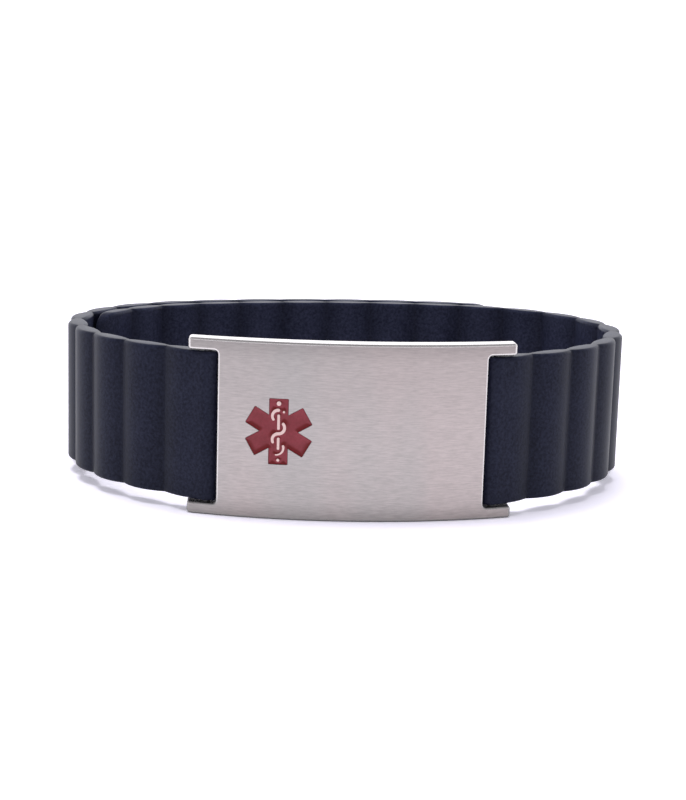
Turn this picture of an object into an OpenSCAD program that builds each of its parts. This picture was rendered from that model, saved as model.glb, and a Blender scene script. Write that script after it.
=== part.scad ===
// Bracelet with a curved steel plate and two ribbed straps that lap over each other at the back.
// X runs along the plate, Y from the plate to the back of the loop, Z up. It stands on its lower edge.

/* [Plate] */
// Width of the plate between the ends of its arms
plate_w = 44; // [38:0.5:52]
// Rise of the middle of the plate in front of its ends
plate_bow = 3.8; // [3:0.1:5]
// Thickness in the middle
plate_mid_t = 3.2; // [2.8:0.1:4]
// Thickness at the ends of the arms
plate_end_t = 2.7; // [2.5:0.1:3.5]
// Height of each arm above and below the strap
arm_h = 1.6; // [1.3:0.05:2.5]
// Clearance between an arm and the strap
arm_gap = 0.25; // [0.2:0.05:0.8]
// Length of the arms, which is the depth of the notch
arm_len = 4.1; // [3.8:0.1:6]
// Radius in the inner corners of the notch
notch_r = 0.7; // [0.2:0.05:0.9]
// Radius on the four outer corners of the plate
plate_r = 0.45; // [0.3:0.05:0.9]
// Radius on the corners of the arms beside the notch
arm_r = 0.4; // [0.2:0.05:0.6]
// Width of the broken edge all round
plate_edge = 0.3; // [0.1:0.05:0.4]

/* [Star] */
// Distance of the star from the middle of the plate, along the face
star_off = 9.9; // [0:0.1:11]
// Reach of each of the six rays
star_reach = 4.45; // [3:0.05:6]
// Width of a ray
star_bar = 2.6; // [2.2:0.05:3]
// Depth of the pocket for the enamel
pocket_depth = 0.4; // [0.2:0.05:0.6]
// How far the enamel lies below the steel
enamel_sink = 0.06; // [0.02:0.01:0.12]
// Clearance round the enamel
enamel_gap = 0.02; // [0.01:0.01:0.04]
// Width of the staff
staff_w = 0.34; // [0.3:0.02:0.5]
// Width of the serpent at its widest
snake_w = 0.42; // [0.3:0.02:0.5]

/* [Strap] */
// Width of the straps
strap_w = 20.3; // [16:0.1:24]
// Thickness in the middle of a pad, which is also the thickness of the barrel on the pin
pad_t = 2.9; // [2.7:0.05:3.2]
// Thickness in the groove between two pads
groove_t = 1.4; // [1:0.05:2]
// Distance from groove to groove
pad_pitch = 7.45; // [6.5:0.1:9]
// Radius along the upper and lower edges
edge_r = 0.5; // [0.3:0.05:1]
// Radius of the corners at a strap's tip
tip_r = 4; // [2:0.1:5]
// Thickness of a strap's last pad
tip_pad_t = 2.4; // [2:0.05:2.7]
// Thickness at a strap's end
tip_t = 0.8; // [0.6:0.05:1.2]
// Length over which that end is rounded off
tip_nose = 0.5; // [0.3:0.1:1]
// Length of the left strap from its pin to its first groove
left_first = 6.65; // [5:0.05:8]
// Number of full pads on the left strap
left_pads = 14; // [12:1:15]
// Length of the left strap's last pad
left_tip = 6; // [5.5:0.1:9]
// Length of the right strap from its pin to its first groove
right_first = 5.75; // [5:0.05:8]
// Number of full pads on the right strap
right_pads = 17; // [15:1:18]
// Length of the right strap's last pad
right_tip = 10; // [7:0.1:12]

/* [Loop] */
// Number of pad lengths round the loop, between the first grooves of the two straps
loop_pads = 23; // [21:1:26]
// Angle at which the left strap leaves the plate
leave_angle = 33.5; // [28:0.5:36]
// Clearance between the two layers where they lap
layer_gap = 0.2; // [0.1:0.05:0.5]

/* [Pins] */
// Radius of the pins
pin_r = 0.5; // [0.4:0.05:0.85]
// How far a pin reaches into each arm
pin_bite = 0.8; // [0.5:0.05:0.9]
// Clearance of a pin in the strap
strap_bore_gap = 0.08; // [0.05:0.01:0.1]
// Clearance of a pin in the arms
arm_bore_gap = 0.04; // [0.02:0.01:0.1]
// Clearance between the strap's barrel and the wall of the notch
barrel_gap = 0.35; // [0.3:0.05:0.7]

/* [Hidden] */

// Columns of the loop table, a row for each stretch of even bend from the left pin round to the right one
SHARE = 0; // share of the loop's length
TURN = 1;  // turn in degrees
loop_rows = [
    [0.05, 2],
    [0.15, 53],
    [0.10, 49],
    [0.055, 20.5],
    [0.055, 10],
    [0.205, 24.5],
    [0.05, 22.5],
    [0.145, 64.5],
    [0.145, 46],
    [0.045, 5],
];

// Columns of the serpent's table, a list of bends for each stroke, lengths as shares of star_reach
MID_X = 0;
MID_Z = 1;
BEND_R = 2;
FROM = 3;   // angles in degrees from the right
TO = 4;
FROM_W = 5; // width at the start, as a share of snake_w
TO_W = 6;   // width at the end
snake_strokes = [
    [[-0.01, 0.47, 0.18, 90, 215, 1, 0.8]],
    [[0, 0.12, 0.183, 40, -90, 0.9, 1], [0, -0.246, 0.183, 90, 205, 1, 0.85]],
    [[-0.056, -0.495, 0.213, 15, -95, 0.8, 0.4]],
];

// Columns of the staff's table, heights as shares of star_reach
LOW = 0;
HIGH = 1;
staff_rows = [
    [0.06, 0.52],
    [-0.55, -0.18],
];

// Columns of the table of dots, as shares of star_reach
DOT_X = 0;
DOT_Z = 1;
DOT_R = 2;
dot_rows = [
    [0, 0.85, 0.068],
    [0, -0.87, 0.045],
    [0.155, 0.6, 0.035],
];

pad_cuts = 6;      // sections along one pad
corner_cuts = 3;   // steps round one corner of a section
barrel_step = 25;  // degrees between sections round the barrel
tip_step = 14;     // degrees between sections round the tip
tip_peak = 0.4;    // share of the last pad's length at which it is thickest
edge_share = 0.9;  // largest share of the half thickness that an edge radius takes
over = 1;          // how far a cut runs past what it cuts
bend_cuts = 8;     // steps along one bend of the serpent
slab_t = 0.01;     // thickness of a hull's end slab
end_gap = 0.1;     // room past the end of a pin

plate_h = strap_w + 2 * (arm_h + arm_gap);
mid_z = plate_h / 2;
notch_h = plate_h - 2 * arm_h;

face_r = (pow(plate_w / 2, 2) + pow(plate_bow, 2)) / (2 * plate_bow);
end_angle = asin(plate_w / 2 / face_r);
deg_per_mm = 180 / (PI * face_r);

back_end = [(face_r - plate_end_t) * sin(end_angle), face_r - (face_r - plate_end_t) * cos(end_angle)];
back_bow = back_end.y - plate_mid_t;
back_r = (pow(back_end.x, 2) + pow(back_bow, 2)) / (2 * back_bow);

barrel_r = pad_t / 2;
wall_to_pin = barrel_gap + barrel_r;
pin_angle = end_angle - (arm_len - wall_to_pin) * deg_per_mm;
pin_x = (face_r - barrel_r) * sin(pin_angle);
pin_y = face_r - (face_r - barrel_r) * cos(pin_angle);

loop_len = left_first + right_first + loop_pads * pad_pitch;
left_end = left_first + left_pads * pad_pitch + left_tip;
right_end = right_first + right_pads * pad_pitch + right_tip;
lap_start = loop_len - right_end;
layer_step = pad_t + layer_gap;

function total(list, i = 0) = i < len(list) ? list[i] + total(list, i + 1) : 0;
share_sum = total([for (row = loop_rows) row[SHARE]]);

// Heading 0 points along -X and grows as the loop turns inward
function arc_move(heading, bend, run) =
    let (r = run * 180 / (PI * bend))
    [r * (sin(heading) - sin(heading + bend)), r * (cos(heading) - cos(heading + bend))];

// A knot is the start of a stretch: x, y, heading, distance from the left pin
function next_knot(knot, row) =
    let (run = loop_len * row[SHARE] / share_sum, move = arc_move(knot[2], row[TURN], run))
    [knot[0] + move.x, knot[1] + move.y, knot[2] + row[TURN], knot[3] + run];

knots = [
    for (
        i = 0, knot = [-pin_x, pin_y, leave_angle, 0];
        i <= len(loop_rows);
        knot = i < len(loop_rows) ? next_knot(knot, loop_rows[i]) : knot, i = i + 1
    ) knot
];
last_knot = knots[len(loop_rows)];
loop_miss = [pin_x - last_knot[0], pin_y - last_knot[1]];

function stretch(u) = max([0, for (i = [1 : len(loop_rows) - 1]) if (knots[i][3] <= u) i]);

// Point of the loop at a distance from the left pin, with the small miss at its end spread evenly
function loop_at(u) =
    let (
        i = stretch(u),
        knot = knots[i],
        run = u - knot[3],
        bend = loop_rows[i][TURN] * run / (knots[i + 1][3] - knot[3]),
        move = abs(bend) > 0 ? arc_move(knot[2], bend, run) : [0, 0]
    )
    [knot[0] + move.x + loop_miss.x * u / loop_len, knot[1] + move.y + loop_miss.y * u / loop_len];

function outward(u) =
    let (
        i = stretch(u),
        share = (u - knots[i][3]) / (knots[i + 1][3] - knots[i][3]),
        heading = knots[i][2] + loop_rows[i][TURN] * share
    )
    [-sin(heading), -cos(heading)];

// The loop's line is the middle of each strap where it is alone, and crosses over evenly where they lap
function crossed(u) =
    let (t = min(1, max(0, (u - lap_start) / (left_end - lap_start))))
    t * t * (3 - 2 * t);

// How far each strap lies outside that line, at a distance from the left pin
function left_shift(u) = layer_step * crossed(u);
function right_shift(u) = layer_step * (crossed(u) - 1);

// Half the thickness of the pads at a distance s from the strap's own pin
function pad_half(s, first, pads, tip) =
    let (
        last = first + pads * pad_pitch,
        far = (s - last) / tip,
        high = s < last ? pad_t : tip_pad_t,
        low = far < tip_peak ? groove_t : tip_t,
        across =
            s < first ? min(0, 2 * (first - s) / pad_pitch - 1)
            : s < last ? 2 * ((s - first) / pad_pitch - floor((s - first) / pad_pitch)) - 1
            : far < tip_peak ? 1 - far / tip_peak
            : (far - tip_peak) / (1 - tip_peak)
    )
    (high - (high - low) * across * across) / 2;

// The same with the barrel on the pin and the rounded end
function half_t(s, first, pads, tip) =
    let (room = first + pads * pad_pitch + tip - s)
    s < 0 ? sqrt(barrel_r * barrel_r - s * s)
    : room < tip_nose ? pad_half(s, first, pads, tip) * sqrt(1 - pow(1 - room / tip_nose, 2))
    : pad_half(s, first, pads, tip);

// How far the last pad lies over towards the other strap
function lean(s, first, pads, tip) =
    let (far = (s - first - pads * pad_pitch) / tip)
    far <= 0 ? 0
    : far < tip_peak ? (pad_t - tip_pad_t) / 2 * far / tip_peak
    : pad_t / 2 - pad_half(s, first, pads, tip);

// Half the width at a distance from the tip
function half_w(room) =
    strap_w / 2 - tip_r + (room < tip_r ? sqrt(tip_r * tip_r - pow(tip_r - room, 2)) : tip_r);

// Distances from the pin at which a strap is cut into sections
function strap_cuts(first, pads, tip) =
    let (last = first + pads * pad_pitch, end = last + tip)
    concat(
        [for (a = [barrel_step / 2 : barrel_step : 89]) -barrel_r * cos(a)],
        [for (i = [0 : pad_cuts - 1]) first * i / pad_cuts],
        [for (i = [0 : pads * pad_cuts - 1]) first + pad_pitch * i / pad_cuts],
        [for (i = [0 : pad_cuts / 2]) last + (tip - tip_r) * i / (pad_cuts / 2)],
        [for (a = [tip_step : tip_step : 89]) end - tip_r * (1 - sin(a))]
    );

// Rounded section: distance across the thickness and height from the middle
function section(t, w) =
    let (r = min(edge_r, t * edge_share))
    [
        for (quarter = [0 : 3], i = [0 : corner_cuts])
            let (
                a = 90 * (quarter + i / corner_cuts),
                x_side = quarter == 0 || quarter == 3 ? 1 : -1,
                z_side = quarter < 2 ? 1 : -1
            )
            [x_side * (t - r) + r * cos(a), z_side * (w - r) + r * sin(a)]
    ];

function left_ring(s) =
    let (
        p = loop_at(s),
        n = outward(s),
        shift = left_shift(s) - lean(s, left_first, left_pads, left_tip)
    )
    [
        for (q = section(half_t(s, left_first, left_pads, left_tip), half_w(left_end - s)))
            [p.x + n.x * (shift + q.x), p.y + n.y * (shift + q.x), mid_z + q.y]
    ];

function right_ring(s) =
    let (
        u = loop_len - s,
        p = loop_at(u),
        n = outward(u),
        shift = right_shift(u) + lean(s, right_first, right_pads, right_tip)
    )
    [
        for (q = section(half_t(s, right_first, right_pads, right_tip), half_w(right_end - s)))
            [p.x + n.x * (shift + q.x), p.y + n.y * (shift + q.x), mid_z + q.y]
    ];

left_rings = [for (s = strap_cuts(left_first, left_pads, left_tip)) left_ring(s)];
right_rings = [for (s = strap_cuts(right_first, right_pads, right_tip)) right_ring(s)];

strap_xs = [for (ring = concat(left_rings, right_rings), p = ring) p.x];
strap_ys = [for (ring = concat(left_rings, right_rings), p = ring) p.y];
middle = [(min(strap_xs) + max(strap_xs)) / 2, max(strap_ys) / 2];

// Everything is drawn with the front of the plate at y = 0, then centred
module centred() {
    translate([-middle.x, -middle.y, 0]) children();
}

// Skin over a list of rings, closed at both ends
module skin(rings, turned) {
    n = len(rings[0]);
    count = len(rings);
    points = [for (ring = rings, p = ring) p];
    sides = [
        for (i = [0 : count - 2], j = [0 : n - 1])
            let (a = i * n + j, b = i * n + (j + 1) % n)
            each [[a, b + n, b], [a, a + n, b + n]]
    ];
    caps = [[for (j = [0 : n - 1]) j], [for (j = [n - 1 : -1 : 0]) (count - 1) * n + j]];
    faces = concat(sides, caps);
    polyhedron(points, turned ? [for (f = faces) [for (k = [len(f) - 1 : -1 : 0]) f[k]]] : faces);
}

// Local frame on the face of the plate: x along the face, y into the steel
module at_face(angle) {
    translate([0, face_r, 0]) rotate([0, 0, angle]) translate([0, -face_r, 0]) children();
}

// Cut a flat outline, drawn with its y as height, through the plate at the local frame
module through(from_y, to_y) {
    translate([0, to_y, 0]) rotate([90, 0, 0]) linear_extrude(to_y - from_y) children();
}

module pin_bore(gap) {
    for (side = [-1, 1])
        translate([side * pin_x, pin_y, arm_h - pin_bite - end_gap])
            cylinder(r = pin_r + gap, h = notch_h + 2 * (pin_bite + end_gap), $fn = 48);
}

module plate_blank() {
    e = plate_edge;
    intersection() {
        translate([0, face_r, 0])
            rotate_extrude($fn = 360)
                polygon([
                    [0, 0],
                    [face_r - e, 0],
                    [face_r, e],
                    [face_r, plate_h - e],
                    [face_r - e, plate_h],
                    [0, plate_h]
                ]);
        translate([-plate_w / 2, -over, -over])
            cube([plate_w, plate_bow + plate_end_t + 2 * over, plate_h + 2 * over]);
    }
}

module plate_back() {
    e = plate_edge + over;
    translate([0, plate_mid_t + back_r, 0])
        rotate_extrude($fn = 360)
            polygon([
                [0, -over],
                [back_r + e, -over],
                [back_r, plate_edge],
                [back_r, plate_h - plate_edge],
                [back_r + e, plate_h + over],
                [0, plate_h + over]
            ]);
}

// Outline of a notch, grown by a margin, with its wall to the left of the local frame
module notch_outline(margin) {
    r = notch_r + margin;
    wall = -wall_to_pin - margin;
    low = arm_h - margin;
    high = plate_h - arm_h + margin;
    reach = arm_len + over;
    translate([wall + r, low]) square([reach, high - low]);
    translate([wall, low + r]) square([reach, high - low - 2 * r]);
    for (z = [low + r, high - r])
        translate([wall + r, z]) circle(r, $fn = 32);
}

module notch() {
    through(-over, plate_mid_t + over) notch_outline(0);
    hull() {
        through(-slab_t, 0) notch_outline(plate_edge);
        through(plate_edge, plate_edge + slab_t) notch_outline(0);
    }
}

// Rounded corner to cut off at the origin, for an arm that lies to the left and on one side in height
module corner_cut(side, r) {
    drop = r - slab_t;
    difference() {
        translate([-r, side > 0 ? -drop : -over]) square([r + over, drop + over]);
        translate([-r, -side * drop]) circle(r, $fn = 32);
    }
}

// Long edge to cut a corner off with: the line from p to q carried on both ways, and all beside it
module chamfer(p, q, beside) {
    run = (q - p) / norm(q - p) * 2 * over;
    polygon([p - run, q + run, q + run + beside, p - run + beside]);
}

// Broken edges and rounded corners at the end of the arms, with the front corner at the origin
module arm_end() {
    e = plate_edge;
    back_turn = asin(plate_w / 2 / back_r);
    back = plate_mid_t + back_r * (1 - cos(back_turn)) - plate_bow;
    through(-over, plate_mid_t + over) {
        translate([0, plate_h]) corner_cut(1, plate_r);
        translate([0, 0]) corner_cut(-1, plate_r);
        translate([0, arm_h]) corner_cut(1, arm_r);
        translate([0, plate_h - arm_h]) corner_cut(-1, arm_r);
    }
    translate([0, 0, -over])
        linear_extrude(plate_h + 2 * over) {
            chamfer(-e * [cos(end_angle), sin(end_angle)], [0, e], [2 * over, 0]);
            chamfer([0, back - e], [0, back] - e * [cos(back_turn), sin(back_turn)], [0, 2 * over]);
        }
}

module star(gap) {
    for (a = [0 : 60 : 120])
        rotate(a) square([star_bar - 2 * gap, 2 * (star_reach - gap)], center = true);
}

// Points along one bend of the serpent: the place, the heading and half the width
function bend_points(row, skip) =
    let (side = row[TO] > row[FROM] ? 90 : -90)
    [
        for (i = [skip : bend_cuts])
            let (t = i / bend_cuts, a = row[FROM] + (row[TO] - row[FROM]) * t)
            [
                ([row[MID_X], row[MID_Z]] + row[BEND_R] * [cos(a), sin(a)]) * star_reach,
                a + side,
                snake_w / 2 * (row[FROM_W] + (row[TO_W] - row[FROM_W]) * t)
            ]
    ];

// Outline round a list of such points, with round ends
module stroke(path, gap) {
    function beside(p, turn) = p[0] + (p[2] + gap) * [cos(p[1] + turn), sin(p[1] + turn)];
    last = len(path) - 1;
    polygon(concat(
        [for (p = path) beside(p, 90)],
        [for (turn = [60 : -30 : -60]) beside(path[last], turn)],
        [for (i = [last : -1 : 0]) beside(path[i], -90)],
        [for (turn = [-120 : -30 : -240]) beside(path[0], turn)]
    ));
}

module staff_and_serpent(gap) {
    for (row = staff_rows)
        translate([-staff_w / 2 - gap, row[LOW] * star_reach - gap])
            square([staff_w + 2 * gap, (row[HIGH] - row[LOW]) * star_reach + 2 * gap]);
    for (row = dot_rows)
        translate([row[DOT_X], row[DOT_Z]] * star_reach)
            circle(row[DOT_R] * star_reach + gap, $fn = 12);
    for (bends = snake_strokes)
        stroke([for (j = [0 : len(bends) - 1]) each bend_points(bends[j], min(j, 1))], gap);
}

// Prism of the star without the figure, standing on the curved floor of the pocket
module star_prism(gap) {
    difference() {
        at_face(-star_off * deg_per_mm)
            translate([0, 0, mid_z])
                through(-over, pocket_depth + over)
                    difference() {
                        star(gap);
                        staff_and_serpent(gap);
                    }
        translate([0, face_r, 0]) cylinder(r = face_r - pocket_depth + gap, h = plate_h, $fn = 360);
    }
}

module id_plate() {
    color("#b4aeb0")
        centred()
            difference() {
                plate_blank();
                plate_back();
                for (side = [0, 1])
                    mirror([side, 0, 0]) {
                        at_face(pin_angle) notch();
                        translate([plate_w / 2, plate_bow, 0]) arm_end();
                    }
                pin_bore(arm_bore_gap);
                star_prism(0);
            }
}

module star_enamel() {
    color("#8b414b")
        centred()
            intersection() {
                star_prism(enamel_gap);
                translate([0, face_r, 0]) cylinder(r = face_r - enamel_sink, h = plate_h, $fn = 360);
            }
}

module left_strap() {
    color("#252631")
        centred()
            difference() {
                skin(left_rings, false);
                pin_bore(strap_bore_gap);
            }
}

module right_strap() {
    color("#252631")
        centred()
            difference() {
                skin(right_rings, true);
                pin_bore(strap_bore_gap);
            }
}

module pin(side) {
    color("#9a9a9c")
        centred()
            translate([side * pin_x, pin_y, arm_h - pin_bite])
                cylinder(r = pin_r, h = notch_h + 2 * pin_bite, $fn = 48);
}

module left_pin() {
    pin(-1);
}

module right_pin() {
    pin(1);
}

id_plate();
star_enamel();
left_strap();
right_strap();
left_pin();
right_pin();
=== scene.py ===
import bpy
import math
from mathutils import Matrix, Vector
from mathutils.geometry import delaunay_2d_cdt


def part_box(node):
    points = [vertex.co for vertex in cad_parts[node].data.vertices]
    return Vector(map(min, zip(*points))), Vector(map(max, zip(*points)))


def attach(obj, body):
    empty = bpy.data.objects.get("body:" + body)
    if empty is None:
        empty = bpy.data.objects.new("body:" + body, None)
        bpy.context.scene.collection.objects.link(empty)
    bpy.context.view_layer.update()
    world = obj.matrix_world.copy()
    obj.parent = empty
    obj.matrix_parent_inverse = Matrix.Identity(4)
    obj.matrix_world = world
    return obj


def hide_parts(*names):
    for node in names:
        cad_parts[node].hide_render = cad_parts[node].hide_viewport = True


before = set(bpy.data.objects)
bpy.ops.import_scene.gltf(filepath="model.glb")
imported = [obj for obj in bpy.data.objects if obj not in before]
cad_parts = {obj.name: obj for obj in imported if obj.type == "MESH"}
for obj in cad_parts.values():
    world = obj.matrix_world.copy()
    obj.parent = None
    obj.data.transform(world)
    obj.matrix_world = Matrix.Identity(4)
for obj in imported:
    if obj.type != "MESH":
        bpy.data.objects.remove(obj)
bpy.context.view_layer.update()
print("frame loaded:", ", ".join(sorted(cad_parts)))

mm = 0.001


# from mm about the foot of the plate's face to metres in the row's frame
def place(x, y, z):
    return (Vector((x, y, z)) + origin) * mm


def startSkin():
    return {"points": [], "normals": [], "known": {}, "faces": [], "finish": []}


# points in the same place become one
def addPoint(skin, point, normal):
    key = tuple(round(c * 1e7) for c in point)
    if key not in skin["known"]:
        skin["known"][key] = len(skin["points"])
        skin["points"].append(point)
        skin["normals"].append(Vector(normal).normalized())
    return skin["known"][key]


# a corner that repeats the one before it is left out
def addFace(skin, corners, finish=0):
    corners = [c for i, c in enumerate(corners) if c != corners[i - 1]]
    if len(corners) > 2:
        skin["faces"].append(corners)
        skin["finish"].append(finish)


def makeObject(name, skin, ownNormals=True):
    mesh = bpy.data.meshes.new(name)
    mesh.from_pydata(skin["points"], [], skin["faces"])
    mesh.polygons.foreach_set("material_index", skin["finish"])
    mesh.shade_smooth()
    mesh.validate()
    if ownNormals:
        mesh.normals_split_custom_set_from_vertices(skin["normals"])
    mesh.update()
    made = bpy.data.objects.new(name, mesh)
    bpy.context.scene.collection.objects.link(made)
    return made


# flat outline from corners (s along the face, z up, radius), as points with outward normals
def roundedLoop(corners, arcSteps, straightStep):
    loop = []
    count = len(corners)
    for i in range(count):
        before = Vector(corners[i - 1][:2])
        here = Vector(corners[i][:2])
        after = Vector(corners[(i + 1) % count][:2])
        radius = corners[i][2]
        inWay = (here - before).normalized()
        outWay = (after - here).normalized()
        turn = math.atan2(inWay.x * outWay.y - inWay.y * outWay.x, inWay.dot(outWay))
        cut = radius * math.tan(abs(turn) / 2)
        sign = 1 if turn > 0 else -1
        firstNormal = Vector((inWay.y, -inWay.x))
        centre = here - inWay * cut - firstNormal * radius * sign
        if loop:
            fillStraight(loop, centre + firstNormal * radius * sign, firstNormal, straightStep)
        for k in range(arcSteps + 1):
            angle = turn * k / arcSteps
            normal = Matrix.Rotation(angle, 2) @ firstNormal
            loop.append((centre + normal * radius * sign, normal))
    lastWay = (Vector(corners[0][:2]) - Vector(corners[-1][:2])).normalized()
    fillStraight(loop, loop[0][0], Vector((lastWay.y, -lastWay.x)), straightStep)
    return loop


def fillStraight(loop, end, normal, step):
    start = loop[-1][0]
    parts = max(1, math.ceil((end - start).length / step))
    for k in range(1, parts):
        loop.append((start.lerp(end, k / parts), normal))


# the loop moved out along its normals, as plain points
def grown(loop, margin):
    return [point + normal * margin for point, normal in loop]


# a point is inside when a line from it crosses the ring an odd number of times
def inside(point, ring):
    hit = False
    for i in range(len(ring)):
        a, b = ring[i - 1], ring[i]
        if (a.y > point.y) != (b.y > point.y):
            if point.x < (b.x - a.x) * (point.y - a.y) / (b.y - a.y) + a.x:
                hit = not hit
    return hit


# distance from a point to the nearest of the rings
def wallDistance(point, rings):
    best = 1e9
    for ring in rings:
        for i in range(len(ring)):
            a, b = ring[i - 1], ring[i]
            way = b - a
            share = max(0, min(1, (point - a).dot(way) / way.length_squared))
            best = min(best, (point - a - way * share).length)
    return best


# triangles over the rings' points and a grid that stays clear of them, in and out of the rings
def fillFlat(rings, gridX, gridZ, clear):
    points, edges = [], []
    for ring in rings:
        start = len(points)
        points += ring
        edges += [(start + i, start + (i + 1) % len(ring)) for i in range(len(ring))]
    lowX, highX = min(p.x for p in points), max(p.x for p in points)
    lowZ, highZ = min(p.y for p in points), max(p.y for p in points)
    across = round((highX - lowX) / gridX)
    upward = round((highZ - lowZ) / gridZ)
    for i in range(1, across):
        for j in range(1, upward):
            spot = Vector((
                lowX + (highX - lowX) * i / across, lowZ + (highZ - lowZ) * j / upward))
            if wallDistance(spot, rings) > clear:
                points.append(spot)
    made = delaunay_2d_cdt(points, edges, [], 0, 1e-6)
    return made[0], made[2]


def middleOf(spots, triangle):
    return sum((spots[i] for i in triangle), Vector((0, 0))) / 3


def between(pair, share):
    return pair[0] + (pair[1] - pair[0]) * share


# all sizes in mm, with the foot of the plate's face at the middle
plate = {
    "width": 44.0,
    "bow": 3.8,
    "middleThickness": 3.2,
    "endThickness": 2.7,
    "armHeight": 1.6,
    "armLength": 4.1,
    "notchRound": 0.5,
    "armRound": 0.4,
    "cornerRound": 0.45,
    "cornerSteps": 6,
    "edge": 0.3,            # rounding all round the front and the back
    "edgeSteps": 4,
    "grid": (0.5, 1.0),     # mesh size along the face and up it
    "gridClear": 0.12,
}
plateHeight = (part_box("id_plate")[1][2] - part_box("id_plate")[0][2]) / mm
midHeight = plateHeight / 2
faceRadius = ((plate["width"] / 2) ** 2 + plate["bow"] ** 2) / (2 * plate["bow"])
endAngle = math.asin(plate["width"] / 2 / faceRadius)


# how deep the back lies behind the face: it has an arc of its own
def backDepth(angle):
    endX = (faceRadius - plate["endThickness"]) * math.sin(endAngle)
    endY = faceRadius - (faceRadius - plate["endThickness"]) * math.cos(endAngle)
    bow = endY - plate["middleThickness"]
    radius = (endX ** 2 + bow ** 2) / (2 * bow)
    offset = faceRadius - plate["middleThickness"] - radius
    reach = offset * math.cos(angle)
    return faceRadius - reach - math.sqrt(reach ** 2 - offset ** 2 + radius ** 2)


# 0 at the notch, 1 at the end of the arms, which is cut square
def endShare(s):
    return min(1, max(0, 1 - (endAngle * faceRadius - abs(s)) / plate["armLength"]))


# a spot on the plate: s along the bowed face, z up, depth into the steel
def onPlate(s, z, depth):
    angle = s / faceRadius
    r = faceRadius - depth
    slide = depth * math.tan(angle) * endShare(s)
    x = r * math.sin(angle) + slide * math.cos(angle)
    y = faceRadius - r * math.cos(angle) + slide * math.sin(angle)
    return place(x, y, z)


def faceNormal(s):
    angle = s / faceRadius
    return Vector((math.sin(angle), -math.cos(angle), 0))


def sideNormal(s, flat):
    angle = s / faceRadius * (1 - endShare(s))
    return Vector((math.cos(angle) * flat.x, math.sin(angle) * flat.x, flat.y))


def plateOutline():
    end = endAngle * faceRadius
    wall = end - plate["armLength"]
    low, high, top = plate["armHeight"], plateHeight - plate["armHeight"], plateHeight
    arm, notch, corner = plate["armRound"], plate["notchRound"], plate["cornerRound"]
    right = [
        (end, 0, corner), (end, low, arm), (wall, low, notch),
        (wall, high, notch), (end, high, arm), (end, top, corner)]
    left = [(-s, z, r) for s, z, r in reversed(right)]
    return roundedLoop(right + left, plate["cornerSteps"], plate["grid"][0])


star = {
    "fromMiddle": 9.9,
    "reach": 4.45,
    "barWidth": 2.6,
    "cornerRound": 0.13,
    "innerRound": 0.03,
    "cornerSteps": 4,
    "outlineStep": 0.35,
    "rim": 0.05,            # rounding of the pocket's upper edge
    "rimSteps": 3,
    "pocketDepth": 0.4,
    "pocketGrid": 0.6,
    "pocketClear": 0.1,
    "enamelGap": 0.03,
    "enamelLow": 0.17,      # depth of the enamel away from its walls
    "enamelHigh": 0.03,     # depth where it climbs the walls
    "enamelClimb": 0.7,     # how far from a wall the climb starts
    "enamelFoot": 0.38,     # how deep the enamel's outer wall goes
    "figureFoot": 0.3,      # how deep the steel figure's walls go
    "staffWidth": 0.34,
    "staffRound": 0.12,
    "staffSteps": 3,
    "staffStep": 0.4,
    "serpentWidth": 0.42,
    "strokeSteps": 16,
    "dotSides": 18,
    "grid": 0.14,
    "gridClear": 0.05,
}


def starOutline():
    half = star["barWidth"] / 2
    inner = half / math.sin(math.radians(30))
    corners = []
    for ray in range(6):
        turn = Matrix.Rotation(math.radians(60 * ray), 2)
        for x, z in ((half, star["reach"]), (-half, star["reach"])):
            spot = turn @ Vector((x, z))
            corners.append((spot.x, spot.y, star["cornerRound"]))
        spot = Matrix.Rotation(math.radians(60 * ray + 30), 2) @ Vector((0, inner))
        corners.append((spot.x, spot.y, star["innerRound"]))
    return roundedLoop(corners, star["cornerSteps"], star["outlineStep"])


# bends of the serpent: middle x, z and radius in shares of the star's reach,
# first and last angle, first and last width in shares of the serpent's width
serpentStrokes = [
    [(-0.01, 0.47, 0.18, 90, 215, 1, 0.8)],
    [(0, 0.12, 0.183, 40, -90, 0.9, 1), (0, -0.246, 0.183, 90, 205, 1, 0.85)],
    [(-0.056, -0.495, 0.213, 15, -95, 0.8, 0.4)],
]
staffParts = [(0.06, 0.52), (-0.55, -0.18)]     # low and high end
dots = [(0, 0.85, 0.068), (0, -0.87, 0.045), (0.155, 0.6, 0.035)]       # x, z, radius


# outline of one stroke, with round ends
def strokeRing(bends):
    path = []
    steps = star["strokeSteps"]
    for number, (midX, midZ, radius, start, end, startWidth, endWidth) in enumerate(bends):
        side = 90 if end > start else -90
        for k in range(min(number, 1), steps + 1):
            share = k / steps
            angle = math.radians(start + (end - start) * share)
            x = midX + radius * math.cos(angle)
            z = midZ + radius * math.sin(angle)
            width = star["serpentWidth"] / 2 * (startWidth + (endWidth - startWidth) * share)
            path.append((Vector((x, z)) * star["reach"], math.degrees(angle) + side, width))

    def beside(step, turn):
        spot, heading, width = step
        angle = math.radians(heading + turn)
        return spot + Vector((math.cos(angle), math.sin(angle))) * width

    ring = [beside(step, -90) for step in path]
    ring += [beside(path[-1], turn) for turn in (-60, -30, 0, 30, 60)]
    ring += [beside(step, 90) for step in reversed(path)]
    ring += [beside(path[0], turn) for turn in (120, 150, 180, 210, 240)]
    return ring


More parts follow.
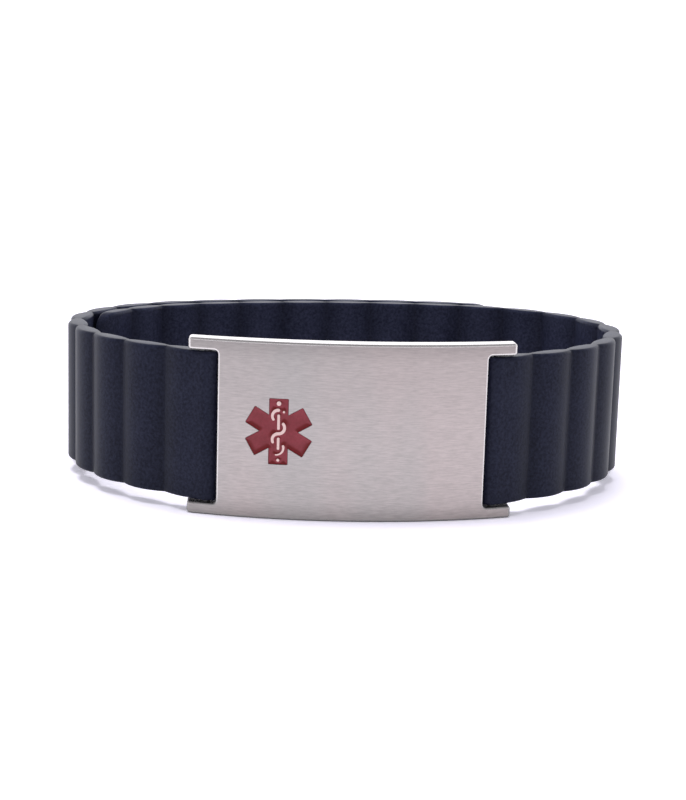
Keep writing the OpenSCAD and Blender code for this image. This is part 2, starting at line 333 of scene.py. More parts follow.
def figureRings():
    rings = [strokeRing(bends) for bends in serpentStrokes]
    half, radius = star["staffWidth"] / 2, star["staffRound"]
    for part in staffParts:
        low, high = (share * star["reach"] for share in part)
        corners = [(-half, low), (half, low), (half, high), (-half, high)]
        corners = [(x, z, radius) for x, z in corners]
        rings.append(grown(roundedLoop(corners, star["staffSteps"], star["staffStep"]), 0))
    for midX, midZ, radius in dots:
        middle = Vector((midX, midZ)) * star["reach"]
        reach = Vector((radius * star["reach"], 0))
        turns = [math.radians(360 * k / star["dotSides"]) for k in range(star["dotSides"])]
        rings.append([middle + Matrix.Rotation(turn, 2) @ reach for turn in turns])
    return rings


starMiddle = Vector((-star["fromMiddle"], midHeight))


# the plate's finishes, in the order of its materials
faceFinish, figureFinish, edgeFinish = range(3)


def buildPlate():
    skin = startSkin()
    outline = plateOutline()
    edge, steps, grid = plate["edge"], plate["edgeSteps"], plate["grid"]
    hole = [(point + starMiddle, normal) for point, normal in starOutline()]

    def ringAt(loop, margin, depthOf, normalOf):
        made = []
        for point, normal in loop:
            flat = point + normal * margin
            spot = onPlate(flat.x, flat.y, depthOf(flat.x))
            made.append(addPoint(skin, spot, normalOf(flat.x, normal)))
        return made

    def bridge(first, second, finish=0):
        for i in range(len(first)):
            j = (i + 1) % len(first)
            addFace(skin, [first[i], second[i], second[j], first[j]], finish)

    # fills the first ring and leaves the others open
    def pave(rings, gridSize, clear, depthOf, front=True):
        spots, triangles = fillFlat(rings, *gridSize, clear)
        for triangle in triangles:
            middle = middleOf(spots, triangle)
            if not inside(middle, rings[0]) or any(inside(middle, ring) for ring in rings[1:]):
                continue
            corners = []
            for s, z in (spots[i] for i in triangle):
                normal = faceNormal(s) if front else -faceNormal(s)
                corners.append(addPoint(skin, onPlate(s, z, depthOf(s)), normal))
            addFace(skin, corners if front else corners[::-1])

    def backAt(s):
        return backDepth(s / faceRadius)

    # from the edge of the front face round to the edge of the back
    rings = []
    for k in range(steps + 1):
        turn = math.radians(90 * k / steps)
        rings.append(ringAt(
            outline, -edge * (1 - math.sin(turn)), lambda s: edge * (1 - math.cos(turn)),
            lambda s, flat: faceNormal(s) * math.cos(turn) + sideNormal(s, flat) * math.sin(turn)))
    for k in range(steps, -1, -1):
        turn = math.radians(90 * k / steps)
        rings.append(ringAt(
            outline, -edge * (1 - math.sin(turn)), lambda s: backAt(s) - edge * (1 - math.cos(turn)),
            lambda s, flat: -faceNormal(s) * math.cos(turn) + sideNormal(s, flat) * math.sin(turn)))
    for number, (first, second) in enumerate(zip(rings, rings[1:])):
        bridge(first, second, edgeFinish if number <= steps else faceFinish)

    # rim of the pocket, its wall and its floor
    rim, deep = star["rim"], star["pocketDepth"]
    pocket = []
    for k in range(star["rimSteps"] + 1):
        turn = math.radians(90 * k / star["rimSteps"])
        pocket.append(ringAt(
            hole, rim * (1 - math.sin(turn)), lambda s: rim * (1 - math.cos(turn)),
            lambda s, flat: faceNormal(s) * math.cos(turn) - sideNormal(s, flat) * math.sin(turn)))
    pocket.append(ringAt(hole, 0, lambda s: deep, lambda s, flat: faceNormal(s) - sideNormal(s, flat)))
    for first, second in zip(pocket, pocket[1:]):
        bridge(second, first)

    front = grown(outline, -edge)
    pave([front, grown(hole, rim)], grid, plate["gridClear"], lambda s: 0)
    pave([front], grid, plate["gridClear"], backAt, front=False)
    pave([grown(hole, 0)], [star["pocketGrid"]] * 2, star["pocketClear"], lambda s: deep)
    return skin


def buildEmblem(plateSkin):
    enamel = startSkin()
    edge = grown(starOutline(), -star["enamelGap"])
    figure = figureRings()
    walls = [edge] + figure
    spots, triangles = fillFlat(walls, star["grid"], star["grid"], star["gridClear"])
    depths = []
    for spot in spots:
        climb = max(0, 1 - wallDistance(spot, walls) / star["enamelClimb"])
        depths.append(star["enamelLow"] - (star["enamelLow"] - star["enamelHigh"]) * climb * climb)
    sides = {}
    for triangle in triangles:
        middle = middleOf(spots, triangle)
        if not inside(middle, edge):
            continue
        kind = "figure" if any(inside(middle, ring) for ring in figure) else "enamel"
        skin, finish = (plateSkin, figureFinish) if kind == "figure" else (enamel, 0)
        corners = []
        for i in triangle:
            flat = spots[i] + starMiddle
            depth = 0 if kind == "figure" else depths[i]
            corners.append(addPoint(skin, onPlate(flat.x, flat.y, depth), faceNormal(flat.x)))
        addFace(skin, corners, finish)
        for i in range(3):
            sides.setdefault((triangle[i], triangle[(i + 1) % 3]), kind)
    # walls of the figure down into the enamel, and the enamel's own edge
    for (a, b), kind in sides.items():
        if kind == sides.get((b, a)):
            continue
        first, last = spots[a] + starMiddle, spots[b] + starMiddle
        way = (last - first).normalized()
        normal = sideNormal(first.x, Vector((way.y, -way.x)))
        skin, tops, foot, finish = enamel, (depths[a], depths[b]), star["enamelFoot"], 0
        if kind == "figure":
            skin, tops, foot, finish = plateSkin, (0, 0), star["figureFoot"], figureFinish
        quad = []
        for spot, depth in ((first, tops[0]), (first, foot), (last, foot), (last, tops[1])):
            skin["points"].append(onPlate(spot.x, spot.y, depth))
            skin["normals"].append(normal.normalized())
            quad.append(len(skin["points"]) - 1)
        addFace(skin, quad, finish)
    return enamel


strap = {
    "width": 20.3,
    "padThickness": 2.9,
    "grooveThickness": 1.4,
    "padPitch": 7.45,
    "edgeRound": 0.5,
    "tipRound": 4.0,
    "tipNose": 0.5,
    "tipPeak": 0.4,         # share of the last pad's length at which it is thickest
    "tipPadThickness": 2.4,
    "tipThickness": 0.8,
    "tipClosing": 0.004,    # the last section lies this short of the tip
    "layerGap": 0.2,
    "barrelGap": 0.35,      # from the barrel to the notch's end wall
    "loopPads": 23,         # from one strap's first groove round to the other's
    "leaveAngle": 33.5,
    # run from the pin to the first groove, whole pads, and the last pad
    "left": {"first": 6.65, "pads": 14, "tip": 6.0},
    "right": {"first": 5.75, "pads": 17, "tip": 10.0},
    "stationsPerPad": 24,
    "stationsInTip": 12,
    "cornerSteps": 8,
    "crestPaintedShade": (0.98, 1.42),     # painted light and shade: tone of a pad's middle, outer side and inner side
    "groovePaintedShade": (0.7, 0.86),     # painted shade: tone in the grooves, the same way
}
# share of the loop's length, turn in degrees
loopBends = [
    (0.05, 2), (0.15, 53), (0.10, 49), (0.055, 20.5), (0.055, 10),
    (0.205, 24.5), (0.05, 22.5), (0.145, 64.5), (0.145, 46), (0.045, 5),
]

# where the row's frame lies, read from the two pins
leftLow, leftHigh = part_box("left_pin")
rightLow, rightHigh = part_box("right_pin")
pinLeft = (Vector(leftLow) + Vector(leftHigh)) / 2 / mm
pinRight = (Vector(rightLow) + Vector(rightHigh)) / 2 / mm
barrelRadius = strap["padThickness"] / 2
pinAngle = endAngle - (plate["armLength"] - strap["barrelGap"] - barrelRadius) / faceRadius
pinX = (faceRadius - barrelRadius) * math.sin(pinAngle)
pinY = faceRadius - (faceRadius - barrelRadius) * math.cos(pinAngle)
origin = Vector(((pinLeft.x + pinRight.x) / 2, pinLeft.y - pinY, 0))

firstRuns = strap["left"]["first"] + strap["right"]["first"]
loopLength = firstRuns + strap["loopPads"] * strap["padPitch"]


# lengths along a strap, from its pin
def lastGroove(side):
    return strap[side]["first"] + strap[side]["pads"] * strap["padPitch"]


def strapEnd(side):
    return lastGroove(side) + strap[side]["tip"]


# how far an arc that starts with this heading gets
def arcMove(heading, bend, run):
    r = run / bend
    x = r * (math.sin(heading) - math.sin(heading + bend))
    y = r * (math.cos(heading) - math.cos(heading + bend))
    return Vector((x, y))


def loopKnots():
    shares = sum(share for share, turn in loopBends)
    knots = [(Vector((-pinX, pinY)), math.radians(strap["leaveAngle"]), 0)]
    for share, turn in loopBends:
        point, heading, gone = knots[-1]
        run = loopLength * share / shares
        bend = math.radians(turn)
        knots.append((point + arcMove(heading, bend, run), heading + bend, gone + run))
    return knots


knots = loopKnots()
loopMiss = Vector((pinX, pinY)) - knots[-1][0]


# spot and outward direction at u along the loop, from the left pin round to the right one
def onLoop(u):
    i = max([0] + [k for k in range(1, len(loopBends)) if knots[k][2] <= u])
    point, heading, gone = knots[i]
    bend = math.radians(loopBends[i][1]) * (u - gone) / (knots[i + 1][2] - gone)
    move = arcMove(heading, bend, u - gone) if abs(bend) > 1e-12 else Vector((0, 0))
    heading += bend
    return point + move + loopMiss * u / loopLength, Vector((-math.sin(heading), -math.cos(heading)))


# 0 up to the right strap's tip, 1 from the left strap's tip on, with a soft rise between
def crossed(u):
    start = loopLength - strapEnd("right")
    share = min(1, max(0, (u - start) / (strapEnd("left") - start)))
    return share * share * (3 - 2 * share)


# 0 on the crest of a pad, 1 in a groove or at the strap's end
def grooveShare(s, side):
    part, pitch, peak = strap[side], strap["padPitch"], strap["tipPeak"]
    last = lastGroove(side)
    far = (s - last) / part["tip"]
    if s < part["first"]:
        across = min(0, 2 * (part["first"] - s) / pitch - 1)
    elif s < last:
        across = 2 * ((s - part["first"]) / pitch % 1) - 1
    else:
        across = 1 - far / peak if far < peak else (far - peak) / (1 - peak)
    return across * across


# half of the strap's thickness
def padHalf(s, side):
    last = lastGroove(side)
    far = (s - last) / strap[side]["tip"]
    high = strap["padThickness"] if s < last else strap["tipPadThickness"]
    low = strap["grooveThickness"] if far < strap["tipPeak"] else strap["tipThickness"]
    return (high - (high - low) * grooveShare(s, side)) / 2


# the same with the round barrel and the round nose of the tip
def halfThickness(s, side):
    room = strapEnd(side) - s
    if s < 0:
        return math.sqrt(max(0, barrelRadius ** 2 - s * s))
    if room < strap["tipNose"]:
        return padHalf(s, side) * math.sqrt(max(0, 1 - (1 - room / strap["tipNose"]) ** 2))
    return padHalf(s, side)


# how far the last pad lies over towards the other strap
def lean(s, side):
    far = 1 - (strapEnd(side) - s) / strap[side]["tip"]
    if far <= 0:
        return 0
    if far < strap["tipPeak"]:
        return (strap["padThickness"] - strap["tipPadThickness"]) / 2 * far / strap["tipPeak"]
    return strap["padThickness"] / 2 - padHalf(s, side)


# half of the strap's width at this distance from its tip
def halfWidth(room):
    r = strap["tipRound"]
    cut = math.sqrt(max(0, r * r - (r - room) ** 2)) if room < r else r
    return strap["width"] / 2 - r + cut


# where along the strap its sections lie
def strapStations(side):
    part, pitch = strap[side], strap["padPitch"]
    many, few = strap["stationsPerPad"], strap["stationsInTip"]
    last, end = lastGroove(side), strapEnd(side)
    barrelTurns = [1] + list(range(7, 90, 7))
    stations = [-barrelRadius * math.cos(math.radians(a)) for a in barrelTurns]
    stations += [part["first"] * i / many for i in range(many)]
    stations += [part["first"] + pitch * i / many for i in range(part["pads"] * many)]
    plain = part["tip"] - strap["tipRound"]
    stations += [last + plain * i / few for i in range(few + 1)]
    stations += [end - strap["tipRound"] * (1 - math.sin(math.radians(a))) for a in range(5, 90, 5)]
    return stations + [end - strap["tipClosing"]]


# section with half thickness t, half width w and round corners
def strapSection(t, w):
    steps = strap["cornerSteps"]
    r = min(strap["edgeRound"], t * 0.9)
    spots = []
    for quarter in range(4):
        sideX = 1 if quarter in (0, 3) else -1
        sideZ = 1 if quarter < 2 else -1
        for i in range(steps + 1):
            a = math.radians(90 * (quarter + i / steps))
            spots.append((sideX * (t - r) + r * math.cos(a), sideZ * (w - r) + r * math.sin(a)))
    return spots


def buildStrap(side):
    skin = startSkin()
    step = strap["padThickness"] + strap["layerGap"]
    rings, paintedShades = [], []
    for s in strapStations(side):
        u = s if side == "left" else loopLength - s
        middle, out = onLoop(u)
        if side == "left":
            shift = step * crossed(u) - lean(s, side)
        else:
            shift = step * (crossed(u) - 1) + lean(s, side)
        ring = []
        half = halfThickness(s, side)
        for across, height in strapSection(half, halfWidth(strapEnd(side) - s)):
            flat = middle + out * (shift + across)
            skin["points"].append(place(flat.x, flat.y, midHeight + height))
            ring.append(len(skin["points"]) - 1)
            # painted light and shade: lighter on the inner side and on the crests, darker in the
            # grooves
            inward = 0.5 - 0.5 * across / max(half, 0.01)
            tones = between(strap["crestPaintedShade"], inward), between(strap["groovePaintedShade"], inward)
            paintedShades.append(between(tones, grooveShare(s, side)))
        rings.append(ring)
    turned = side == "right"
    for first, second in zip(rings, rings[1:]):
        for i in range(len(first)):
            j = (i + 1) % len(first)
            face = [first[i], second[i], second[j], first[j]]
            skin["faces"].append(face[::-1] if turned else face)
    skin["faces"].append(rings[0][::-1] if turned else rings[0])
    skin["faces"].append(rings[-1] if turned else rings[-1][::-1])
    skin["finish"] = [0] * len(skin["faces"])
    made = makeObject("strap_" + side, skin, ownNormals=False)
    paintedShade = made.data.attributes.new("paintedShade", "FLOAT", "POINT")
    paintedShade.data.foreach_set("value", paintedShades)
    return made


# a group of number sockets, and its two end nodes
def newGroup(name, inputs, outputs):
    group = bpy.data.node_groups.new(name, "ShaderNodeTree")
    for label, value in inputs:
        socket = group.interface.new_socket(label, in_out="INPUT", socket_type="NodeSocketFloat")
        socket.default_value = value
    for label in outputs:
        group.interface.new_socket(label, in_out="OUTPUT", socket_type="NodeSocketFloat")
    return group, group.nodes.new("NodeGroupInput"), group.nodes.new("NodeGroupOutput")


def mathNode(tree, operation, first, second=None, clamp=False):
    node = tree.nodes.new("ShaderNodeMath")
    node.operation = operation
    node.use_clamp = clamp
    for socket, value in zip(node.inputs, (first, second)):
        if value is None:
            continue
        if isinstance(value, (int, float)):
            socket.default_value = value
        else:
            tree.links.new(value, socket)
    return node.outputs[0]


def stretchedNoise(tree, along, upward, detail, roughness):
    axes = objectAxes(tree)
    join = tree.nodes.new("ShaderNodeCombineXYZ")
    for axis, scale in ((0, along), (1, along), (2, upward)):
        tree.links.new(mathNode(tree, "MULTIPLY", axes[axis], scale), join.inputs[axis])
    noise = tree.nodes.new("ShaderNodeTexNoise")
    noise.inputs["Scale"].default_value = 1
    noise.inputs["Detail"].default_value = detail
    noise.inputs["Roughness"].default_value = roughness
    tree.links.new(join.outputs[0], noise.inputs["Vector"])
    return noise.outputs["Fac"]


# fine lines, broad bands across them, and mottle; scales are cells in a metre
def makeBrushing():
    inputs = [("Lines Along", 45), ("Lines Up", 5200), ("Bands Along", 90), ("Mottle", 900)]
    group, given, made = newGroup("steelBrushing", inputs, ["Lines", "Bands", "Mottle", "Height"])
    along, upward = given.outputs["Lines Along"], given.outputs["Lines Up"]
    size = given.outputs["Mottle"]
    bandsUp = 14
    lines = stretchedNoise(group, along, upward, 4, 0.65)
    bands = stretchedNoise(group, given.outputs["Bands Along"], bandsUp, 1, 0.4)
    mottle = stretchedNoise(group, size, size, 3, 0.6)
    group.links.new(lines, made.inputs["Lines"])
    group.links.new(bands, made.inputs["Bands"])
    group.links.new(mottle, made.inputs["Mottle"])
    group.links.new(lines, made.inputs["Height"])
    return group


def makeGrain():
    inputs = [("Grain Size", 2600), ("Cloud Size", 160)]
    group, given, made = newGroup("fineGrain", inputs, ["Grain", "Clouds"])
    fine, broad = given.outputs["Grain Size"], given.outputs["Cloud Size"]
    grain = stretchedNoise(group, fine, fine, 3, 0.6)
    clouds = stretchedNoise(group, broad, broad, 2, 0.5)
    group.links.new(grain, made.inputs["Grain"])
    group.links.new(clouds, made.inputs["Clouds"])
    return group


def newMaterial(name, settings):
    material = bpy.data.materials.new(name)
    material.use_nodes = True
    tree = material.node_tree
    shader = tree.nodes["Principled BSDF"]
    for label, value in settings.items():
        shader.inputs[label].default_value = value
    return material, tree, shader


# input names with _ for a blank
def useGroup(tree, group, **values):
    node = tree.nodes.new("ShaderNodeGroup")
    node.node_tree = group
    for label, value in values.items():
        node.inputs[label.replace("_", " ")].default_value = value
    return node


def rangeNode(tree, value, fromLow, fromHigh, toLow, toHigh):
    node = tree.nodes.new("ShaderNodeMapRange")
    tree.links.new(value, node.inputs["Value"])
    node.inputs["From Min"].default_value = fromLow
    node.inputs["From Max"].default_value = fromHigh
    node.inputs["To Min"].default_value = toLow
    node.inputs["To Max"].default_value = toHigh
    return node.outputs["Result"]


# x, y and z of the shaded spot in the piece's own space
def objectAxes(tree):
    coords = tree.nodes.new("ShaderNodeTexCoord")
    split = tree.nodes.new("ShaderNodeSeparateXYZ")
    tree.links.new(coords.outputs["Object"], split.inputs[0])
    return split.outputs


def mixColours(tree, share, first, second):
    node = tree.nodes.new("ShaderNodeMix")
    node.data_type = "RGBA"
    tree.links.new(share, node.inputs["Factor"])
    for socket, value in ((node.inputs["A"], first), (node.inputs["B"], second)):
        if isinstance(value, tuple):
            socket.default_value = value + (1,)
        else:
            tree.links.new(value, socket)
    return node.outputs["Result"]


def scaleColour(tree, colour, tone):
    node = tree.nodes.new("ShaderNodeVectorMath")
    node.operation = "SCALE"
    tree.links.new(colour, node.inputs[0])
    tree.links.new(tone, node.inputs["Scale"])
    return node.outputs[0]


def addBump(tree, shader, height, strength, distance):
    bump = tree.nodes.new("ShaderNodeBump")
    bump.inputs["Strength"].default_value = strength
    bump.inputs["Distance"].default_value = distance
    tree.links.new(height, bump.inputs["Height"])
    tree.links.new(bump.outputs["Normal"], shader.inputs["Normal"])


brushing = makeBrushing()
grain = makeGrain()
noiseSpread = (0.3, 0.7)    # nearly all values of a noise lie in here

steelLook = {
    "grey": (0.466, 0.435, 0.434),
    "pink": (0.488, 0.43, 0.428),
    "contrast": 0.16,       # how much the tone swings about its middle
    "spread": (0.36, 0.64), # noise values of the darkest and the brightest streaks
    "hueSpread": (0.4, 0.6),
    "roughness": (0.32, 0.46),
    "lineLength": 640,      # streaks in a metre along the plate, and up it
    "lineHeight": 6400,
    "shares": {"Lines": 0.75, "Bands": 0.15, "Mottle": 0.1},
    "lineBump": 0.18,
    "bumpDepth": 0.00002,   # in metres, for all the steel
    "grainAcross": 0.4,     # anisotropy
    "shadeRimWidth": 2.5,        # painted shade: strip at the upper and the lower edge, in mm
    "rimPaintedShade": 0.8,         # painted shade: tone at the edge itself, 1 being the plain tone
    "topPaintedShade": 0.9,         # painted shade: tone that the upper half fades to
}
figureLook = {
    "dark": (0.65, 0.47, 0.45),
    "light": (0.75, 0.55, 0.53),
    "roughness": (0.28, 0.4),
    "lineLength": 120,
    "lineHeight": 4000,
}
edgeLook = {
    "dark": (0.70, 0.665, 0.665),
    "light": (0.77, 0.735, 0.735),
    "roughness": (0.25, 0.3),
    "lineLength": 700,
    "lineHeight": 1500,
    "lowArmsShade": 0.56,        # painted shade: tone of the edges up to the lower arms' upper side
    "foot": 0.35,           # painted contact shadow: tone where the plate meets the table
    "shadeFade": 1.0,            # mm over which the first of these ends
}
# the pins are nearly black: painted shade of the narrow gaps in which they sit
shadedPinLook = {
    "dark": (0.10, 0.10, 0.11),
    "light": (0.17, 0.17, 0.18),
    "roughness": (0.25, 0.42),
    "lineLength": 30,
    "lineHeight": 7000,
    "lineBump": 0.3,
}


def brushedSteel():
    settings = {"Metallic": 1.0, "Anisotropic": steelLook["grainAcross"]}
    material, tree, shader = newMaterial("brushedSteel", settings)
    lines = useGroup(
        tree, brushing, Lines_Along=steelLook["lineLength"], Lines_Up=steelLook["lineHeight"])
    both = None
    for label, share in steelLook["shares"].items():
        part = rangeNode(tree, lines.outputs[label], *steelLook["spread"], -share, share)
        both = mathNode(tree, "ADD", both, part) if both else part
    # painted shade: the face is darker in strips along its upper and lower edge, and fades darker over
    # its upper half
    z = objectAxes(tree)["Z"]
    middle = plateHeight * mm / 2
    height = mathNode(tree, "ABSOLUTE", mathNode(tree, "SUBTRACT", z, middle))
    strip = middle - steelLook["shadeRimWidth"] * mm
    rim = rangeNode(tree, height, strip, middle, 1.0, steelLook["rimPaintedShade"])
    shadeFade = rangeNode(tree, z, middle, middle * 2, 1.0, steelLook["topPaintedShade"])
    swing = steelLook["contrast"]
    streaks = rangeNode(tree, both, -1, 1, 1 - swing, 1 + swing)
    tone = mathNode(tree, "MULTIPLY", mathNode(tree, "MULTIPLY", rim, shadeFade), streaks)
    hue = rangeNode(tree, lines.outputs["Bands"], *steelLook["hueSpread"], 0.0, 1.0)
    plain = mixColours(tree, hue, steelLook["grey"], steelLook["pink"])
    rough = rangeNode(tree, lines.outputs["Lines"], *noiseSpread, *steelLook["roughness"])
    tree.links.new(scaleColour(tree, plain, tone), shader.inputs["Base Color"])
    tree.links.new(rough, shader.inputs["Roughness"])
    addBump(tree, shader, lines.outputs["Height"], steelLook["lineBump"], steelLook["bumpDepth"])
    return material


# steel with streaks between two colours, and an optional tone and bump
def streakedSteel(name, look, toneOf=None):
    material, tree, shader = newMaterial(name, {"Metallic": 1.0})
    lines = useGroup(tree, brushing, Lines_Along=look["lineLength"], Lines_Up=look["lineHeight"])
    streaks = rangeNode(tree, lines.outputs["Lines"], *noiseSpread, 0.0, 1.0)
    colour = mixColours(tree, streaks, look["dark"], look["light"])
    if toneOf:
        colour = scaleColour(tree, colour, toneOf(tree))
    rough = rangeNode(tree, lines.outputs["Lines"], *noiseSpread, *look["roughness"])
    tree.links.new(colour, shader.inputs["Base Color"])
    tree.links.new(rough, shader.inputs["Roughness"])
    if "lineBump" in look:
        addBump(tree, shader, lines.outputs["Height"], look["lineBump"], steelLook["bumpDepth"])
    return material


# painted shade: the edges of the lower arms face the table and the strap and are darkened, most of all
# where the plate meets the table
def edgePaintedShade(tree):
    z = objectAxes(tree)["Z"]
    arm, shadeFade = plate["armHeight"] * mm, edgeLook["shadeFade"] * mm
    low = rangeNode(tree, z, arm, arm + shadeFade, edgeLook["lowArmsShade"], 1.0)
    foot = rangeNode(tree, z, 0.0, plate["edge"] * mm, edgeLook["foot"], 1.0)
    return mathNode(tree, "MULTIPLY", low, foot)


siliconeLook = {
    "deep": (0.0085, 0.0096, 0.021),
    "dusty": (0.0255, 0.0285, 0.054),
    "specks": 0.75,         # share of fine specks, the rest is broad clouds
    "speckSpread": (0.33, 0.67),
    "roughness": (0.32, 0.42),
    "grainSize": 2600,      # specks and clouds in a metre
    "cloudSize": 150,
    "grainBump": 0.5,
    "bumpDepth": 0.00003,   # in metres
    "gloss": 1.17,          # index of refraction
}


def blackSilicone():
    settings = {"Metallic": 0.0, "IOR": siliconeLook["gloss"]}
    material, tree, shader = newMaterial("blackSilicone", settings)
    fine = useGroup(
        tree, grain, Grain_Size=siliconeLook["grainSize"], Cloud_Size=siliconeLook["cloudSize"])
    specks = siliconeLook["specks"]
    speck = rangeNode(tree, fine.outputs["Grain"], *siliconeLook["speckSpread"], 0.0, specks)
    cloud = rangeNode(tree, fine.outputs["Clouds"], *noiseSpread, 0.0, 1 - specks)
    both = mathNode(tree, "ADD", speck, cloud, True)
    paintedShade = tree.nodes.new("ShaderNodeAttribute")
    paintedShade.attribute_name = "paintedShade"      # painted light and shade, written by buildStrap
    plain = mixColours(tree, both, siliconeLook["deep"], siliconeLook["dusty"])
    rough = rangeNode(tree, both, 0.0, 1.0, *siliconeLook["roughness"])
    tree.links.new(scaleColour(tree, plain, paintedShade.outputs["Fac"]), shader.inputs["Base Color"])
    tree.links.new(rough, shader.inputs["Roughness"])
    bump, depth = siliconeLook["grainBump"], siliconeLook["bumpDepth"]
    addBump(tree, shader, fine.outputs["Grain"], bump, depth)
    return material


enamelLook = {
    "deep": (0.19, 0.0145, 0.0235),
    "light": (0.30, 0.036, 0.055),
    "upTiltShade": (0.155, 0.002, 0.005),    # painted shade where it turns up towards a wall below it
    "upTiltShadeRange": (0.02, 0.14),         # upward part of the normal there, over which the painted shade comes in
    "roughness": (0.3, 0.45),
    "gloss": 0.37,
    "specks": 0.4,          # share of fine specks, the rest is broad clouds
    "speckSpread": (0.35, 0.7),
    "grainSize": 3200,      # specks and clouds in a metre
    "cloudSize": 420,
    "grainBump": 0.12,
    "bumpDepth": 0.00002,   # in metres
}


def redEnamel():
    settings = {"Metallic": 0.0, "Specular IOR Level": enamelLook["gloss"]}
    material, tree, shader = newMaterial("redEnamel", settings)
    fine = useGroup(
        tree, grain, Grain_Size=enamelLook["grainSize"], Cloud_Size=enamelLook["cloudSize"])
    specks = enamelLook["specks"]
    speck = rangeNode(tree, fine.outputs["Grain"], *enamelLook["speckSpread"], 0.0, 1.0)
    cloud = rangeNode(tree, fine.outputs["Clouds"], *noiseSpread, 0.0, 1.0)
    fineShare = mathNode(tree, "MULTIPLY", speck, specks)
    broadShare = mathNode(tree, "MULTIPLY", cloud, 1 - specks)
    both = mathNode(tree, "ADD", fineShare, broadShare, True)
    # painted shade: darker where the enamel's surface tilts upward
    shape = tree.nodes.new("ShaderNodeNewGeometry")
    split = tree.nodes.new("ShaderNodeSeparateXYZ")
    tree.links.new(shape.outputs["Normal"], split.inputs[0])
    upTiltShade = rangeNode(tree, split.outputs["Z"], *enamelLook["upTiltShadeRange"], 0.0, 1.0)
    plain = mixColours(tree, both, enamelLook["deep"], enamelLook["light"])
    colour = mixColours(tree, upTiltShade, plain, enamelLook["upTiltShade"])
    rough = rangeNode(tree, speck, 0.0, 1.0, *enamelLook["roughness"])
    tree.links.new(colour, shader.inputs["Base Color"])
    tree.links.new(rough, shader.inputs["Roughness"])
    bump, depth = enamelLook["grainBump"], enamelLook["bumpDepth"]
    addBump(tree, shader, fine.outputs["Grain"], bump, depth)
    return material


rubber = blackSilicone()
enamel = redEnamel()
plateSteels = [
    brushedSteel(),
    streakedSteel("figureSteel", figureLook),
    streakedSteel("edgeSteel", edgeLook, edgePaintedShade),
]
shadedPinFinish = streakedSteel("turnedPinShaded", shadedPinLook)
print("materials made")

for side in ("left", "right"):
    piece = buildStrap(side)
    piece.data.materials.append(rubber)
    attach(piece, "root")
    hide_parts(side + "_strap")
print("straps built")

plateSkin = buildPlate()
enamelSkin = buildEmblem(plateSkin)
platePiece = makeObject("plate_brushed", plateSkin)
for steel in plateSteels:
    platePiece.data.materials.append(steel)
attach(platePiece, "root")
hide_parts("id_plate")
enamelPiece = makeObject("star_enamel_inlay", enamelSkin, ownNormals=False)
enamelPiece.data.materials.append(enamel)
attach(enamelPiece, "root")
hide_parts("star_enamel")
print("plate and star built")

for name in ("left_pin", "right_pin"):
    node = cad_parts[name]
    node.data.materials.clear()
    node.data.materials.append(shadedPinFinish)
print("pins finished")

stageLook = {
    "floorColour": (0.84, 0.83, 0.87),
    "floorRoughness": 0.7,
    "floorGloss": 0.2,
    "floorGlow": 0.15,
    "floorSeen": (1.16, 1.12, 1.29),
    "floorReach": 1.5,      # half its side, in metres
    "zenith": 0.3,          # how bright the room is overhead, in front and behind
    "front": 0.36,
    "back": 1.4,
    "frontToBack": (-0.3, 0.6),     # parts of the view's direction between which these change
    "lowToHigh": (0.25, 0.9),
    "wallSeen": 1.3,        # how bright the camera sees the room, at least
    "tint": (0.97, 0.97, 1.0),
    "lampFrom": (-0.09, 0.14, 1.0),
    "lampStrength": 2.5,
    "lampAngle": 36,
}


def buildFloor():
    mesh = bpy.data.meshes.new("floor")
    reach = stageLook["floorReach"]
    corners = [(-reach, -reach, 0), (reach, -reach, 0), (reach, reach, 0), (-reach, reach, 0)]
    mesh.from_pydata(corners, [], [(0, 1, 2, 3)])
    floor = bpy.data.objects.new("floor", mesh)
    bpy.context.scene.collection.objects.link(floor)
    material, tree, shader = newMaterial("whiteFloor", {
        "Roughness": stageLook["floorRoughness"], "Specular IOR Level": stageLook["floorGloss"],
        "Emission Color": (1, 1, 1, 1), "Emission Strength": stageLook["floorGlow"]})
    # overexposed in the picture alone, so that the bracelet isn't lit by it
    path = tree.nodes.new("ShaderNodeLightPath").outputs["Is Camera Ray"]
    colour = mixColours(tree, path, stageLook["floorColour"], stageLook["floorSeen"])
    tree.links.new(colour, shader.inputs["Base Color"])
    mesh.materials.append(material)


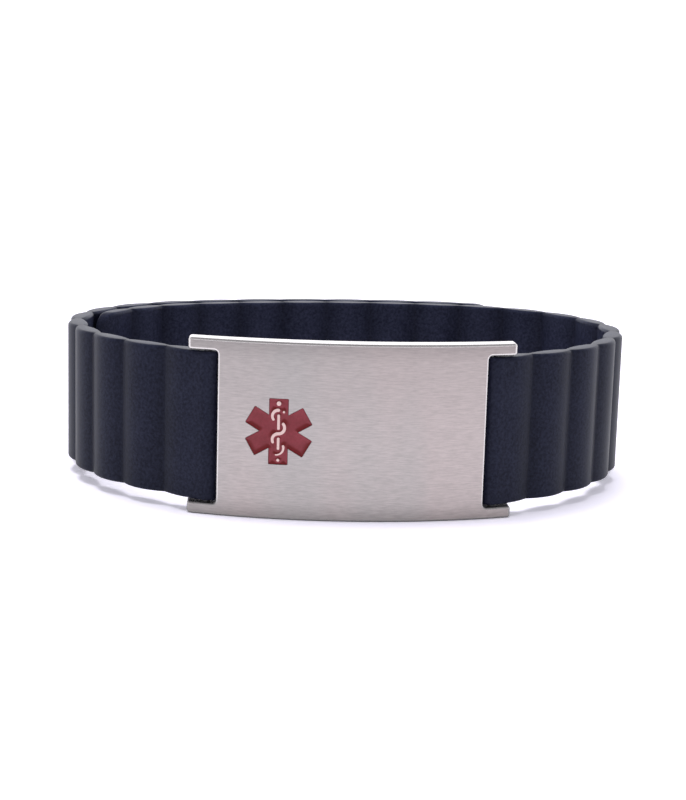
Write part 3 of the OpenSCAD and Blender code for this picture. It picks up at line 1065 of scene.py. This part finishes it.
def buildLight():
    world = bpy.data.worlds.new("softRoom")
    bpy.context.scene.world = world
    world.use_nodes = True
    tree = world.node_tree
    background = tree.nodes["Background"]
    coords = tree.nodes.new("ShaderNodeTexCoord")
    split = tree.nodes.new("ShaderNodeSeparateXYZ")
    tree.links.new(coords.outputs["Generated"], split.inputs[0])
    ends = stageLook["front"], stageLook["back"]
    around = rangeNode(tree, split.outputs["Y"], *stageLook["frontToBack"], *ends)
    low = rangeNode(tree, split.outputs["Z"], *stageLook["lowToHigh"], 1.0, 0.0)
    sides = mathNode(tree, "MULTIPLY", around, low)
    bright = mathNode(tree, "ADD", sides, stageLook["zenith"])
    background.inputs["Color"].default_value = stageLook["tint"] + (1,)
    # the camera sees a plain white wall there
    path = tree.nodes.new("ShaderNodeLightPath").outputs["Is Camera Ray"]
    wall = mathNode(tree, "MULTIPLY", path, stageLook["wallSeen"])
    tree.links.new(mathNode(tree, "MAXIMUM", bright, wall), background.inputs["Strength"])
    light = bpy.data.lights.new("softTop", "SUN")
    light.energy = stageLook["lampStrength"]
    light.angle = math.radians(stageLook["lampAngle"])
    lamp = bpy.data.objects.new("softTop", light)
    lamp.visible_glossy = False
    lamp.rotation_euler = (-Vector(stageLook["lampFrom"])).to_track_quat("-Z", "Y").to_euler()
    bpy.context.scene.collection.objects.link(lamp)


shot = {
    "fromPlate": (-12.999, -218.866, 57.164),   # camera, from the foot of the plate's face, in mm
    "yaw": 3.02,
    "pitch": 10.49,
    "roll": 1.65,
    "focalPixels": 1691,
    "pictureHeight": 800,   # pixels that the focal length is measured in
    "sensor": 36,           # in mm
    "clip": (0.01, 20),     # nearest and farthest seen, in metres
}


def buildCamera():
    yaw, pitch, roll = (math.radians(shot[k]) for k in ("yaw", "pitch", "roll"))
    ahead = Vector((
        math.sin(yaw) * math.cos(pitch), math.cos(yaw) * math.cos(pitch), -math.sin(pitch)))
    level = Vector((math.cos(yaw), -math.sin(yaw), 0))
    upright = level.cross(ahead)
    right = level * math.cos(roll) + upright * math.sin(roll)
    up = upright * math.cos(roll) - level * math.sin(roll)
    data = bpy.data.cameras.new("camera")
    data.sensor_width = shot["sensor"]
    data.lens = shot["sensor"] * shot["focalPixels"] / shot["pictureHeight"]
    data.clip_start, data.clip_end = shot["clip"]
    camera = bpy.data.objects.new("camera", data)
    spot = (Vector(shot["fromPlate"]) + origin) * mm
    camera.matrix_world = Matrix((
        (right.x, up.x, -ahead.x, spot.x), (right.y, up.y, -ahead.y, spot.y),
        (right.z, up.z, -ahead.z, spot.z), (0, 0, 0, 1)))
    bpy.context.scene.collection.objects.link(camera)
    bpy.context.scene.camera = camera


buildFloor()
buildLight()
buildCamera()
bpy.context.scene.view_settings.view_transform = "Standard"
print("stage, light and camera set")
